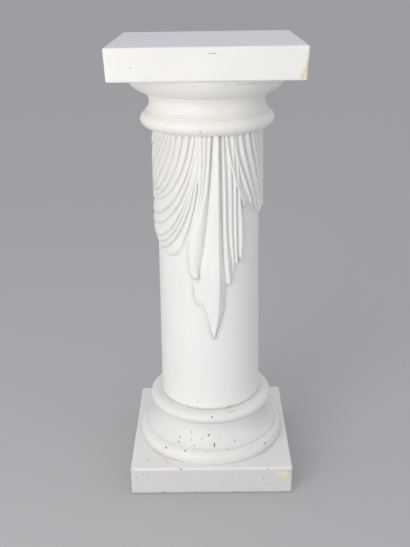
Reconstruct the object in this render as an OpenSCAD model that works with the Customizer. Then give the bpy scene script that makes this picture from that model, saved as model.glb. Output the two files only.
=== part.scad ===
// Column pedestal: square plinth and moulded base, tapering shaft with a carved cloth hung round it,
// moulded capital with a square abacus. Millimetres, +Z up, origin in the middle of the underside.
// The three castings stand on each other, face to face. The front of the cloth looks along -Y.

/* [Plinth and abacus] */
// Side of the square plinth
plinth_side = 298; // [276:1:380]
// Thickness of the plinth
plinth_height = 54.5; // [35:0.5:80]
// Side of the square abacus at its top
abacus_side = 309; // [290:1:380]
// Thickness of the abacus
abacus_height = 51; // [35:0.5:75]
// How much narrower the underside of the abacus is than its top
abacus_draft = 4; // [0:0.5:8]
// Rounding of the long edges of the plinth and the abacus
edge_round = 3; // [1:0.5:4]
// Rounding of the upright corners of the plinth and the abacus
corner_round = 4.5; // [4:0.5:12]

/* [Shaft] */
// Height of the shaft between the base and the capital
shaft_height = 511; // [400:1:700]
// Radius of the bare shaft at its foot
shaft_foot_r = 94; // [76:0.5:98]
// Radius of the bare shaft at its top
shaft_top_r = 88.5; // [76:0.5:98]

/* [Base mouldings] */
// Ledge of the plinth round the lower torus
plinth_ledge = 11.5; // [4:0.5:16]
// Height of the lower torus
lower_torus_height = 23; // [16:0.5:32]
// How far the lower torus swells beyond a straight slope
lower_torus_swell = 6.5; // [3:0.5:9]
// How far the lower torus narrows up to its fillet
lower_torus_step = 10.5; // [6:0.5:14]
// Height of the hollow scotia
scotia_height = 45; // [34:0.5:60]
// How deep the scotia is hollowed
scotia_hollow = 8; // [4:0.5:12]
// Height of the upper torus
upper_torus_height = 20; // [14:0.5:26]
// Ledge from the foot of the shaft out to the fullest part of the upper torus
upper_torus_ledge = 23; // [18:0.5:26]
// How far the upper torus stands out from its own middle
upper_torus_depth = 13; // [9:0.5:15]
// How far the head of the scotia lies inside the upper torus
scotia_head_inset = 7.5; // [5:0.5:10]

/* [Capital mouldings] */
// Ledge from the top of the bare shaft out to the fullest part of the astragal
astragal_ledge = 27; // [22:0.5:32]
// Height of the astragal, the round moulding under the neck
astragal_height = 26.5; // [20:0.5:34]
// Height at which the astragal is fullest
astragal_full_height = 15; // [11:0.5:18]
// How far the underside of the astragal curves in
astragal_depth = 18; // [10:0.5:18]
// Height of the hollow neck, with its two fillets
neck_height = 32; // [24:0.5:42]
// How deep the neck is hollowed
neck_hollow = 6; // [3:0.5:9]
// How far the foot of the neck lies inside the astragal
neck_foot_inset = 7.7; // [5:0.1:10]
// How far the head of the neck lies inside its foot
neck_head_inset = 2.8; // [1:0.1:5]
// Height of the echinus
echinus_height = 34.5; // [24:0.5:44]
// Ledge from the echinus out to the edge of the abacus, at the middle of a side
echinus_ledge = 11.5; // [6:0.5:18]
// How far the echinus swells beyond a straight slope
echinus_swell = 7; // [3:0.5:10]
// Height of each small flat fillet between two mouldings
fillet_height = 2.5; // [1.5:0.5:4]
// How far each fillet stands out from the hollow beside it
fillet_step = 1; // [0.5:0.1:1.5]

/* [Carved cloth] */
// Thickness of the cloth at the bottom of its creases
cloth_depth = 3.6; // [2:0.1:4]
// Height of the folds above the creases
fold_height = 5; // [2:0.1:5.5]
// How far the tip of the front tail hangs below the capital
tail_drop = 366; // [300:1:380]
// How far the tip of the rear tail hangs below the capital
rear_tail_drop = 300; // [250:1:370]
// How far the left swag hangs below the capital
left_swag_drop = 213; // [170:1:240]
// How far the right swag hangs below the capital
right_swag_drop = 148; // [120:1:180]

/* [Hidden] */
cast_white = "ivory";

lower_torus_r = plinth_side / 2 - plinth_ledge;
upper_torus_r = shaft_foot_r + upper_torus_ledge;
scotia_foot_z = plinth_height + lower_torus_height + fillet_height;
scotia_head_z = scotia_foot_z + scotia_height;
base_height = scotia_head_z + upper_torus_height;
shaft_top_z = base_height + shaft_height;
astragal_r = shaft_top_r + astragal_ledge;
echinus_r = abacus_side / 2 - abacus_draft / 2 - echinus_ledge;
mould_smoothness = 120;
corner_smoothness = 28;
// How far a moulding is sunk into the slab it is one casting with
sink = 1;

// Layout of the cloth round the shaft, in degrees from the front, + to the right. It is gathered over a
// front tail and a rear tail, with a swag between them on each side.
front_gather = 7;
rear_gather = 183;
left_middle = -85;
right_middle = 95;
// Edges of the front tail where it borders the swags: [at the top, at the bottom of the swag]
tail_left = [-8, -32];
tail_right = [16, 40];
// Half width of the rear tail, in the same form
rear_tail_half = [9, 33];

// Creases of a swag, top to bottom: [start on the top edge, drop at the swag's middle as a share of the
// swag's drop, squareness of the turn]
left_creases = [
    [-66, 0.05, 2], [-56, 0.19, 2], [-51, 0.28, 2], [-47, 0.39, 2], [-42, 0.48, 2], [-33, 0.55, 2],
    [-19, 0.62, 2.8], [-12, 0.73, 2.4], [-11, 0.77, 3.2], [-10, 0.86, 3.6], [-8, 0.92, 4], [-7, 0.96, 4.5],
    [-6, 1, 5], [-5, 1.06, 6]];
right_creases = [
    [70, 0.05, 1.6], [62, 0.16, 1.6], [55, 0.32, 1.5], [50, 0.52, 1.3], [46, 0.8, 1.1], [36, 0.98, 1.6],
    [26, 1.06, 1.6], [20, 1.1, 1.95], [15, 1.14, 2.4]];
// How round the creases turn from their steep start, and how far down its fold each crest lies
crease_round = 1.5;
crest_lag = 1.4;
// Sharpness of the creases between two folds
crease_sharpness = 2.4;

// Pleats of a tail: [azimuth at the top, azimuth at the tip, bend of the way down, half width at the top,
// half width at the tip, drop of the tip, height as a share of the fold height]
front_pleats = [
    [-8, -28, 1.4, 1.6, 2, left_swag_drop, 0.55], [-2, -17, 1.1, 2, 7.5, 0.7 * tail_drop, 0.85],
    [9, 5, 6, 5, 11, tail_drop, 1.15], [15, 21, 3, 2.6, 3.4, 0.725 * tail_drop, 1],
    [21, 26, 1.2, 1.6, 2.2, 0.6 * tail_drop, 0.8], [26, 30, 0.8, 2, 2.6, 0.615 * tail_drop, 0.9],
    [30, 36, 0.8, 2, 3, 0.612 * tail_drop, 1]];
// The rear tail's azimuths are taken from its own gather
rear_pleats = [
    [-6, -22, 1.1, 2.6, 4.5, 0.76 * rear_tail_drop, 0.8], [-2, -8, 1.3, 3, 6, 0.92 * rear_tail_drop, 1],
    [3, 6, 1.3, 3.4, 7, rear_tail_drop, 1.1], [8, 20, 1.1, 2.6, 5, 0.8 * rear_tail_drop, 0.9]];

// Lower edge of each tail: [azimuth, drop as a share of the tail's drop]
tail_edge = [
    [-30, 0.575], [-26, 0.59], [-21, 0.65], [-19.5, 0.76], [-17, 0.8], [-8, 0.83], [-4, 0.9], [3.5, 1],
    [5.5, 1], [9, 0.95], [16, 0.86], [18, 0.74], [21, 0.727], [26, 0.69], [29, 0.62], [34, 0.61],
    [37, 0.615], [39, 0.55]];
rear_edge = [
    [-31, 0.66], [-24, 0.78], [-15, 0.82], [-8, 0.93], [-4, 0.9], [4, 1], [10, 0.94], [16, 0.78],
    [22, 0.8], [31, 0.6]];
// How much each swag's hem rises: the left one at its middle, the right one beside the front tail
left_hem_rise = 0.04;
right_hem_rise = 0.17;
// Azimuths over which the hems rise
left_hem_reach = 45;
right_hem_reach = 55;

// Columns of the shaft's surface, closer round the front tail than on the back
column_azimuths = concat(
    [for (a = [-90 : 3 : -33]) a], [for (a = [-30 : 2 : 42]) a], [for (a = [44 : 3.5 : 89.5]) a],
    [for (a = [93 : 4 : 266]) a]);
cloth_rows = 34;
bare_rows = 2;
// Height over which the cloth's edge falls to the bare shaft
edge_slope = 1.2;

// Points from p to q on an arc that stands off the straight way by the given height, to its left
function arc_between(p, q, height, steps = 10) =
    let (
        chord = norm(q - p),
        radius = (chord * chord / 4 + height * height) / (2 * abs(height)),
        side = [p.y - q.y, q.x - p.x] / chord * sign(height),
        centre = (p + q) / 2 + side * (abs(height) - radius),
        from = atan2(p.y - centre.y, p.x - centre.x),
        turn = -sign(height) * 2 * asin(min(1, chord / 2 / radius)))
    [for (i = [0 : steps])
        centre + radius * [cos(from + turn * i / steps), sin(from + turn * i / steps)]];

// Points of an upright ellipse about a middle, from one angle to another
function ellipse_arc(middle, half_width, half_height, from, to, steps = 12) =
    [for (i = [0 : steps])
        let (t = from + (to - from) * i / steps) middle + [half_width * cos(t), half_height * sin(t)]];

function mix(p, q, t) = p + (q - p) * t;
function ease(t) = let (c = min(1, max(0, t))) c * c * (3 - 2 * c);
function last(list) = list[len(list) - 1];
// Azimuth a, brought to the turn that the left swag is measured in
function on_left_turn(a) = a > rear_gather ? a - 360 : a;

// Row of a table at a number between rows
function row_at(table, k) =
    let (i = min(len(table) - 2, max(0, floor(k)))) mix(table[i], table[i + 1], k - i);

// Drop of crease number k at azimuth a, on the front half of its swag
function crease_drop(creases, middle, swag_drop, k, a) =
    let (crease = row_at(creases, k), s = (a - crease[0]) / (middle - crease[0]))
    s <= 0 ? 0 : swag_drop * crease[1] * pow(1 - pow(1 - min(1, s), crease[2]), 1 / crease_round);

// Number of the crease line that passes through azimuth a at a drop, found by halving
function crease_number(creases, middle, swag_drop, a, drop, low, high, steps = 11) =
    let (k = (low + high) / 2)
    steps == 0 ? k
    : crease_drop(creases, middle, swag_drop, k, a) < drop
        ? crease_number(creases, middle, swag_drop, a, drop, k, high, steps - 1)
        : crease_number(creases, middle, swag_drop, a, drop, low, k, steps - 1);

// Height of a swag's folds, as a share: low at each crease, fullest below the middle of the fold
function swag_fold(creases, middle, swag_drop, a, drop) =
    let (
        k = crease_number(creases, middle, swag_drop, a, drop, 0, len(creases) - 1),
        t = pow(k - floor(k), crest_lag))
    1 - pow(abs(2 * t - 1), crease_sharpness);

// Height of one pleat, as a share, at azimuth a and a drop
function pleat_fold(pleat, a, drop) =
    let (
        t = min(1, drop / pleat[5]),
        crest = mix(pleat[0], pleat[1], pow(t, pleat[2])),
        x = abs(a - crest) / mix(pleat[3], pleat[4], t))
    drop > pleat[5] || x > 1 ? 0 : pleat[6] * (1 - x * x);

function tail_fold(pleats, a, drop) = max([for (pleat = pleats) pleat_fold(pleat, a, drop)]);

// Folds at azimuth a and a drop, as a share of the fold height
function fold_share(a, drop) =
    let (
        left = a < front_gather || a > rear_gather,
        down_left = min(1, drop / left_swag_drop),
        down_right = min(1, drop / right_swag_drop),
        from_rear = (a > front_gather ? a : a + 360) - rear_gather)
    a > mix(tail_left[0], tail_left[1], pow(down_left, 1.3))
        && a < mix(tail_right[0], tail_right[1], pow(down_right, 1.8))
        ? tail_fold(front_pleats, a, drop)
    : abs(from_rear) < mix(rear_tail_half[0], rear_tail_half[1], down_left)
        ? tail_fold(rear_pleats, from_rear, drop)
    : left
        ? swag_fold(left_creases, left_middle, left_swag_drop,
            left_middle + abs(on_left_turn(a) - left_middle), drop)
        : swag_fold(right_creases, right_middle, right_swag_drop,
            right_middle - abs(a - right_middle), drop);

// Lower edge of the cloth at azimuth a
function hem_drop(a) =
    a > tail_edge[0][0] && a < last(tail_edge)[0] ? tail_drop * lookup(a, tail_edge)
    : a > rear_gather + rear_edge[0][0] && a < rear_gather + last(rear_edge)[0]
        ? rear_tail_drop * lookup(a - rear_gather, rear_edge)
    : a < front_gather || a > rear_gather
        ? left_swag_drop
            * (1 - left_hem_rise * ease(1 - abs(on_left_turn(a) - left_middle) / left_hem_reach))
        : right_swag_drop * (1 - right_hem_rise * pow((a - right_middle) / right_hem_reach, 2));

// True where the folds rise to the right, so that the facets are split along them
function folds_rise(a) = a < front_gather || (a > right_middle && a < rear_gather);

// Radius of the bare shaft at a height above its foot
function bare_radius(z) = mix(shaft_foot_r, shaft_top_r, z / shaft_height);

// One upright column of points on the shaft's surface, from the top down
function shaft_column(a) =
    let (
        hem = hem_drop(a),
        edge = hem + edge_slope,
        cloth = [for (k = [0 : cloth_rows])
            let (drop = hem * k / cloth_rows) [drop, cloth_depth + fold_height * fold_share(a, drop)]],
        bare = [for (k = [0 : bare_rows]) [mix(edge, shaft_height, k / bare_rows), 0]])
    [for (p = concat(cloth, bare))
        let (z = shaft_height - p[0], r = bare_radius(z) + p[1]) [r * sin(a), -r * cos(a), z]];

// Outline of a slab's corner from its upright axis out, rounded on its far side: up if rise is 1, down if -1
function corner_outline(rise) =
    concat(
        [[0, 0]],
        [for (t = [0 : 22.5 : 90])
            [corner_round - edge_round + edge_round * cos(t), rise * edge_round * sin(t)]],
        [[0, rise * edge_round]]);

// Square slab with rounded edges, standing on its underside
module slab(bottom_side, top_side, height) {
    hull()
        for (x = [-1, 1], y = [-1, 1], rise = [-1, 1]) {
            inset = (rise == 1 ? top_side : bottom_side) / 2 - corner_round;
            translate([x * inset, y * inset, rise == 1 ? height - edge_round : edge_round])
                rotate_extrude($fn = corner_smoothness) polygon(corner_outline(rise));
        }
}

// Half outline of the base's mouldings, from the plinth to the foot of the shaft
function base_outline() =
    let (
        fillet_r = lower_torus_r - lower_torus_step,
        scotia_foot = [fillet_r - fillet_step, scotia_foot_z],
        scotia_head = [upper_torus_r - scotia_head_inset, scotia_head_z],
        torus_middle = [upper_torus_r - upper_torus_depth, scotia_head_z + upper_torus_height / 2])
    concat(
        [[0, plinth_height - sink], [lower_torus_r, plinth_height - sink]],
        arc_between([lower_torus_r, plinth_height], [fillet_r, scotia_foot_z - fillet_height],
            -lower_torus_swell),
        [[fillet_r, scotia_foot_z]],
        arc_between(scotia_foot, scotia_head, scotia_hollow),
        ellipse_arc(torus_middle, upper_torus_depth, upper_torus_height / 2, -60, 90, 16),
        [[0, base_height]]);

// Half outline of the capital's mouldings, from the top of the shaft to the abacus
function capital_outline() =
    let (
        neck_foot_r = astragal_r - neck_foot_inset,
        neck_head_r = neck_foot_r - neck_head_inset,
        neck_head_z = astragal_height + neck_height,
        abacus_z = neck_head_z + echinus_height)
    concat(
        [[0, 0]],
        ellipse_arc([astragal_r - astragal_depth, astragal_full_height], astragal_depth,
            astragal_full_height, -90, 0, 10),
        arc_between([astragal_r, astragal_full_height + 0.5], [neck_foot_r, astragal_height], -1.6),
        [[neck_foot_r, astragal_height + fillet_height]],
        arc_between([neck_foot_r - fillet_step, astragal_height + fillet_height],
            [neck_head_r - fillet_step, neck_head_z - fillet_height], neck_hollow),
        [[neck_head_r, neck_head_z - fillet_height]],
        arc_between([neck_head_r, neck_head_z], [echinus_r, abacus_z], -echinus_swell),
        [[echinus_r, abacus_z + sink], [0, abacus_z + sink]]);

module base() {
    color(cast_white) {
        slab(plinth_side, plinth_side, plinth_height);
        rotate_extrude($fn = mould_smoothness) polygon(base_outline());
    }
}

module shaft() {
    columns = [for (a = column_azimuths) shaft_column(a)];
    sides = len(columns);
    rows = len(columns[0]);
    color(cast_white)
        translate([0, 0, base_height])
            polyhedron(
                points = [for (column = columns) each column],
                faces = concat(
                    [for (i = [0 : sides - 1], k = [0 : rows - 2])
                        let (p = i * rows + k, q = (i + 1) % sides * rows + k)
                        each folds_rise(column_azimuths[i])
                            ? [[p, q, p + 1], [q, q + 1, p + 1]]
                            : [[p, q, q + 1], [p, q + 1, p + 1]]],
                    [[for (i = [sides - 1 : -1 : 0]) i * rows]],
                    [[for (i = [0 : sides - 1]) i * rows + rows - 1]]));
}

module capital() {
    translate([0, 0, shaft_top_z])
        color(cast_white) {
            rotate_extrude($fn = mould_smoothness) polygon(capital_outline());
            translate([0, 0, astragal_height + neck_height + echinus_height])
                slab(abacus_side - abacus_draft, abacus_side, abacus_height);
        }
}

base();
shaft();
capital();
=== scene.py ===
import math

import bpy
import numpy as np
from mathutils import Matrix, Vector, noise


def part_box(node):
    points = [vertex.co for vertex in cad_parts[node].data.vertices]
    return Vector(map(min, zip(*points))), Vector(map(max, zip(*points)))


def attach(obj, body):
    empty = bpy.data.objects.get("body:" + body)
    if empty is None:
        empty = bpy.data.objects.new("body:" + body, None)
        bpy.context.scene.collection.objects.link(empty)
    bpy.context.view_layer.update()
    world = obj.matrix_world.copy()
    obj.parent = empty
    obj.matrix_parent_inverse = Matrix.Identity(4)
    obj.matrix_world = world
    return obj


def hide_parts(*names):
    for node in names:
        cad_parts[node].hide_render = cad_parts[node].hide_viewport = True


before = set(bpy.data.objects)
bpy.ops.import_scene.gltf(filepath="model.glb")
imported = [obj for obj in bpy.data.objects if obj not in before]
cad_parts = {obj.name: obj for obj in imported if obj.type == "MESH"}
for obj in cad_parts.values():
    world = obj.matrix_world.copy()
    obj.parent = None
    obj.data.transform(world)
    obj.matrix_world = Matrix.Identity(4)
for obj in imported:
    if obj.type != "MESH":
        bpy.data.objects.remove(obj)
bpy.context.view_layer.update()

MM = 0.001


def box_mm(node_name):
    """Lowest and highest corner of a CAD node, in millimetres."""
    low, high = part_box(node_name)
    return low / MM, high / MM


base_high = box_mm("base")[1]
capital_low, capital_high = box_mm("capital")
PLINTH_HALF = base_high.x
ABACUS_HALF = capital_high.x
BASE_TOP = base_high.z
CAPITAL_FOOT = capital_low.z
CAPITAL_TOP = capital_high.z
SHAFT_HEIGHT = CAPITAL_FOOT - BASE_TOP

# Slabs and shaft, as on the CAD castings. The abacus is narrower below by its draft.
PLINTH_HEIGHT = 54.5
ABACUS_HEIGHT = 51
ABACUS_DRAFT = 2
EDGE_ROUND = 3
CORNER_ROUND = 4.5
SHAFT_FOOT_R = 94
SHAFT_TOP_R = 88.5

# Mouldings of the base. Insets are from the plinth's side, stand-outs from the foot of the shaft.
LOW_TORUS_INSET = 11.5
LOW_TORUS_HEIGHT = 23
LOW_TORUS_SWELL = 6.5
FILLET_INSET = 22
FILLET_HEIGHT = 2.5
SCOTIA_HEIGHT = 45
SCOTIA_HOLLOW = 8
SCOTIA_STAND_OUT = 15.5
TORUS_MIDDLE = 10
TORUS_HALF_WIDTH = 13
TORUS_HALF_HEIGHT = 10

# Mouldings of the capital. Insets are from the astragal's fullest point, the echinus's from the abacus's
# side, and levels from the foot of the capital.
ASTRAGAL_STAND_OUT = 27
ASTRAGAL_HALF_WIDTH = 18
ASTRAGAL_HALF_HEIGHT = 15
NECK_INSET = 7.7
NECK_LEVEL = 26.5
NECK_SPREAD = 1.6
GORGE_INSET = 11.5
GORGE_LEVEL = 56
GORGE_HOLLOW = 6
ECHINUS_LEVEL = 58.5
ECHINUS_SWELL = 7
ECHINUS_INSET = 13.5
# How far a fillet stands out from the hollow next to it
LEDGE = 1.0

# Mesh of the castings: rounding of the arrises, longest step up a profile, the rings that close the ends, and
# how far a profile runs in past the shaft's side
ARRIS_ROUND = 0.8
PROFILE_STEP = 2.2
END_R = 60.0
END_SHARE = 0.4
SHAFT_LAP = 4
# Unevenness of the castings, wide and narrow: how wide and how high, and how far all of it is set in
WIDE_UNEVENNESS = (70, 0.5)
NARROW_UNEVENNESS = (22, 0.16)
UNEVENNESS_INSET = 0.35
# What counts as wholly hollow: the turn of a casting's profile in radians a millimetre, and on the shaft the
# change of slope in millimetres from one grid step to the next
CASTING_HOLLOW = 0.25
SHAFT_HOLLOW = 0.5

# Carved cloth: thickness at its creases, and how far the folds stand above them
CLOTH_DEPTH = 3.6
FOLD_HEIGHT = 5.0
# Folds closer together than the second are shallower, and closer than the first they vanish
NO_FOLD = 2.2
FULL_FOLD = 8.5
# How steeply the creases fall from the cloth's upper edge, 1 being least
CREASE_STEEPNESS = 1.5
# The swags' folds lose a share of their depth at the sides, from this azimuth on and over that many degrees
SIDE_LOSS = 0.3
SIDE_START = 66
SIDE_WIDTH = 14
# Height that stands for no cloth, as a share of the fold height
NO_CLOTH = -2.0

# Creases of each swag, top to bottom: azimuth on the cloth's upper edge, drop at the swag's middle, and
# squareness of the turn. After them how far across a fold its crest is, how round the crest is, the share of
# the fold height that crests reach, and the share that creases are cut below it.
LEFT_MIDDLE = -85
LEFT_CREASES = [
    (-74, 10, 1), (-66, 30, 1), (-55.5, 60, 0.7), (-50, 72, 0.85), (-44.5, 92, 0.95), (-39, 101, 1.5),
    (-33, 109, 2.2), (-25.5, 116, 2.5), (-18, 121, 3), (-12, 149, 2.5), (-9.5, 166, 2.7),
    (-8.5, 188, 2.9), (-8, 199, 3.1), (-7, 209, 3.4), (-6, 225, 4.5)]
LEFT_CREST = 0.86
LEFT_ROUNDNESS = 1.0
LEFT_LEVEL = 0.92
LEFT_CUT = 1.15
RIGHT_MIDDLE = 95
RIGHT_CREASES = [
    (82, 12, 1.2), (77, 40, 1), (71, 80, 0.9), (66, 118, 0.75), (60.5, 155, 0.6), (55.5, 200, 0.5),
    (49.5, 250, 0.5), (40, 340, 0.5), (30.5, 350, 0.5), (21.5, 350, 0.5), (17, 210, 1.7)]
RIGHT_CREST = 0.5
RIGHT_ROUNDNESS = 0.5
RIGHT_LEVEL = 0.98
RIGHT_CUT = 1.2
# Azimuth that the right swag doesn't pass
RIGHT_BORDER = 10

# Lines of the front tail, crests and creases, from left to right. Each has how round it is, and its way down
# as (drop, azimuth, height as a share of the fold height).
FRONT_LINES = [
    (1, [(0, -9, .75), (96, -10, .75), (126, -14, .6), (156, -19, .5), (196, -24, .2), (212, -27, 0)]),
    (1, [(0, -6.3, .85), (56, -6.8, .85), (96, -8.2, .8), (126, -12, .8), (156, -17, .7), (196, -22, .5),
         (216, -23.5, .5), (236, -22.5, .5), (240, -22, .1), (252, -20.5, -.2)]),
    (1, [(0, -4.3, .4), (56, -5, .4), (96, -7, .45), (121, -10, .7), (156, -15.5, 1.05), (196, -19, 1.1),
         (230, -19.5, 1.1), (239.5, -19, 1.25), (242.5, -18.5, .1), (252, -18.5, -.5)]),
    (1, [(0, -2, 1), (56, -3.5, 1), (106, -6.5, 1), (136, -10, 1.1), (186, -15, 1.25), (216, -16.5, 1.25),
         (235, -16, 1.1), (244, -15.5, 1.35), (247, -15.5, .1), (252, -15.5, -.55), (300, -14, -.5)]),
    (1, [(0, 0, .4), (36, -1, .4), (56, -2, .45), (96, -4.5, .6), (121, -8, .9), (156, -11, 1.25),
         (186, -13, 1.25), (216, -14.5, 1.2), (236, -13.5, 1), (246.5, -13, 1.3), (249.5, -13, .1),
         (256, -12.5, -.6), (300, -11, -.55)]),
    (1, [(0, 2.6, 1.05), (56, .8, 1.05), (96, -1.8, 1.05), (121, -5, 1.1), (156, -8.4, 1.15),
         (186, -10.4, 1.05), (211, -12, .95), (230, -12.2, .75), (246, -11.2, .9), (249, -11, -.1),
         (256, -11, -.6), (300, -8, -.35), (330, -3.5, .1)]),
    (1, [(0, 5.2, -.45), (26, 4, -.45), (56, 2.9, -.45), (96, .8, -.5), (111, .3, -.5), (136, -1.2, -.5),
         (156, -2.4, -.5), (176, -4, -.45), (206, -6.3, -.45), (226, -8.8, -.45), (238, -10.6, -.4),
         (252, -9.8, -.5), (286, -8.8, -.5), (306, -5, -.3), (330, -2, .1)]),
    (.5, [(0, 7.4, 1.1), (96, 5.8, 1.05), (126, 4.7, 1.1), (156, 3.4, 1), (196, 1.6, .8), (256, .5, .75),
          (300, -.4, .6), (330, .8, .6), (350, 2.5, .45), (364, 4, .2)]),
    (.2, [(0, 10, 1.65), (256, 10, 1.75), (286, 9.6, 1.65), (316, 8.8, 1.4), (340, 6.8, 1.1),
          (356, 5.2, .75), (366, 4.3, .35)]),
    (.3, [(0, 13.2, -.4), (116, 13.8, -.4), (186, 14.6, -.4), (226, 15.8, -.45), (246, 17.5, -.5),
          (266, 18, -.55), (306, 17.2, -.55), (330, 13.5, -.5), (352, 8.5, -.4), (366, 5.2, -.3)]),
    (.7, [(0, 15.2, .9), (56, 16.3, 1), (96, 16.9, 1.1), (156, 17.3, 1.1), (206, 18.5, 1.05),
          (236, 20, .9), (251, 21, .75), (266, 21, .45)]),
    (.6, [(0, 17.6, .1), (36, 19.1, .1), (56, 20, .05), (156, 20.3, 0), (186, 21.3, -.1), (206, 23, -.2),
          (226, 25, -.35), (250, 26, -.35)]),
    (1, [(0, 20, .6), (51, 22.8, .7), (96, 23.9, .75), (166, 24.1, .75), (196, 25.1, .7), (214, 26.3, .5),
         (226, 27.6, .1)]),
    (1, [(0, 23, 0), (56, 25.6, 0), (96, 26.2, 0), (166, 26.4, 0), (196, 27.2, 0), (218, 28.2, -.1)]),
    (.8, [(0, 25, .8), (86, 28.9, .9), (156, 28.4, .95), (186, 28.6, .95), (216, 29.6, .85),
          (226, 30.5, .6)]),
    (1, [(0, 27, 0), (86, 31, 0), (136, 31.2, 0), (176, 32, 0), (201, 32, -.1), (222, 33, -.2)]),
    (.8, [(0, 29, .8), (91, 32.8, .9), (116, 33.8, .95), (146, 35.2, 1), (176, 36, 1), (196, 35.5, .95),
          (210, 35.2, .8), (226, 36, .6)]),
    (1, [(0, 33, -.3), (91, 36.4, -.3), (116, 37.4, -.4), (146, 39.4, -.4), (176, 40, -.4), (201, 39.2, -.4),
         (222, 38.6, -.3)])]

# Lines of the rear tail in the same form, with azimuths from its own middle
REAR_MIDDLE = 183
REAR_LINES = [
    (1, [(0, -10, 0), (120, -20, 0), (213, -34, -.1)]),
    (1, [(0, -7, .7), (120, -15, .8), (200, -25, .8), (222, -27, .4)]),
    (1, [(0, -5, .1), (120, -11, 0), (230, -17, -.2)]),
    (.8, [(0, -2.5, .9), (120, -6, 1), (240, -9, 1), (276, -9, .5)]),
    (1, [(0, 0, 0), (120, -1, -.1), (276, -3, -.2)]),
    (.4, [(0, 3, 1), (150, 4, 1.15), (260, 4.5, 1), (300, 3, .5)]),
    (1, [(0, 6.5, 0), (150, 10, -.1), (280, 12, -.2)]),
    (.8, [(0, 9, .8), (120, 15, .9), (200, 21, .9), (240, 22, .5)]),
    (1, [(0, 11, 0), (120, 21, 0), (213, 34, -.2)])]

# Lower edge of the cloth, once round from the middle of the left swag: (azimuth, drop)
HEM = [
    (-85, 201), (-80, 201), (-70, 207), (-60, 210), (-50, 215), (-45, 214), (-40, 213.5), (-36, 212),
    (-33, 208), (-30.5, 202), (-28.5, 195), (-27, 188), (-26, 191), (-25, 205), (-24, 222), (-22.5, 241),
    (-20.8, 252), (-20, 268), (-18.6, 287), (-16, 295), (-12, 299),
    (-8, 304), (-5.5, 313), (-3.5, 329), (-1, 350), (1.5, 361), (3.5, 366), (5.2, 366), (7.5, 355),
    (10, 341), (13, 327), (16, 315), (17.4, 303), (18.2, 285), (18.6, 264), (19.5, 260), (20.5, 265),
    (23, 262), (26, 250), (28.3, 236), (29.3, 225), (30.5, 226), (32.3, 217), (34.2, 216), (36, 225),
    (37.6, 218), (38.8, 196), (39.5, 160), (39.8, 125), (42.3, 128), (45.5, 121), (49.5, 132), (52.3, 126),
    (55.5, 137), (58.5, 131), (62, 142), (65, 139), (70, 150), (74, 146), (80, 147), (95, 148), (110, 147),
    (120, 142), (130, 137), (140, 130), (147, 140), (152, 178), (157, 228), (162, 236), (168, 242),
    (173, 270), (178, 282), (182, 292), (187, 300), (191, 290), (196, 262), (202, 236), (207, 240),
    (212, 214), (222, 210), (235, 214), (250, 208), (262, 204), (275, 201)]
# How wide the cloth's edge is, and how far outside the hem it ends
EDGE_SOFTNESS = 2.0
EDGE_OUTSIDE = 0.6
# How far in from the hem the cloth thins out, once round as (azimuth, distance), and how thin it gets at the
# hem, as (azimuth, share)
THINNING_REACH = [
    (-177, 24), (-28, 24), (-24, 11), (-17, 6), (-12, 1), (39, 1), (44, 7), (150, 12), (183, 12)]
THINNEST_SHARE = [(-27, 0.2), (-12, 0.5)]
# Rolled edge of the front tail, left of its tip: distance of its crest from the edge, width and height, the
# drop where it starts and how soon it is full, and the azimuths between which it lies, with its fading there
ROLL_INSET = 2.1
ROLL_WIDTH = 1.7
ROLL_HEIGHT = 3.8
ROLL_TOP = 254
ROLL_ONSET = 12
ROLL_LEFT = -30
ROLL_RIGHT = 6
ROLL_FADE = 4
# The shaft's foot draws in over a height, by a depth
FOOT_DRAW_HEIGHT = 2
FOOT_DRAW = 0.8


# ---------------------------------------------------------------- outlines

def arc_between(p, q, rise, steps=14):
    """Points from p to q on an arc that stands off the straight way by rise, to its left."""
    p, q = np.array(p, float), np.array(q, float)
    way = q - p
    chord = np.hypot(*way)
    radius = (chord * chord / 4 + rise * rise) / (2 * abs(rise))
    side = np.array([-way[1], way[0]]) / chord * np.sign(rise)
    centre = (p + q) / 2 + side * (abs(rise) - radius)
    start = math.atan2(p[1] - centre[1], p[0] - centre[0])
    turn = -np.sign(rise) * 2 * math.asin(min(1, chord / 2 / radius))
    angles = start + turn * np.linspace(0, 1, steps + 1)
    return [tuple(centre + radius * np.array([math.cos(t), math.sin(t)])) for t in angles]


def ellipse_arc(middle, half_width, half_height, first, last, steps=20):
    """Points of an upright ellipse about middle, from one angle in degrees to another."""
    angles = np.radians(np.linspace(first, last, steps + 1))
    return [(middle[0] + half_width * math.cos(t), middle[1] + half_height * math.sin(t)) for t in angles]


def soften(points, radius):
    """The outline with each sharp corner rounded, as thick paint rounds it."""
    points = [np.array(p, float) for p in points]
    points = points[:1] + [q for p, q in zip(points, points[1:]) if np.hypot(*(q - p)) > 0.01]
    out = [points[0]]
    for before, here, after in zip(points, points[1:], points[2:]):
        back, ahead = before - here, after - here
        lengths = np.hypot(*back), np.hypot(*ahead)
        turn = math.acos(np.clip(-(back @ ahead) / (lengths[0] * lengths[1]), -1, 1))
        if turn < math.radians(25):
            out.append(here)
            continue
        reach = [min(radius, 0.45 * length) for length in lengths]
        start = here + back / lengths[0] * reach[0]
        end = here + ahead / lengths[1] * reach[1]
        for t in (0, 0.25, 0.5, 0.75, 1):
            out.append((1 - t) ** 2 * start + 2 * t * (1 - t) * here + t * t * end)
    return out + [points[-1]]


def spaced(points, step):
    """The outline with long straight stretches cut into steps."""
    out = [points[0]]
    for p, q in zip(points, points[1:]):
        pieces = max(1, math.ceil(np.hypot(*(q - p)) / step))
        out += [p + (q - p) * i / pieces for i in range(1, pieces + 1)]
    return out


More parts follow.
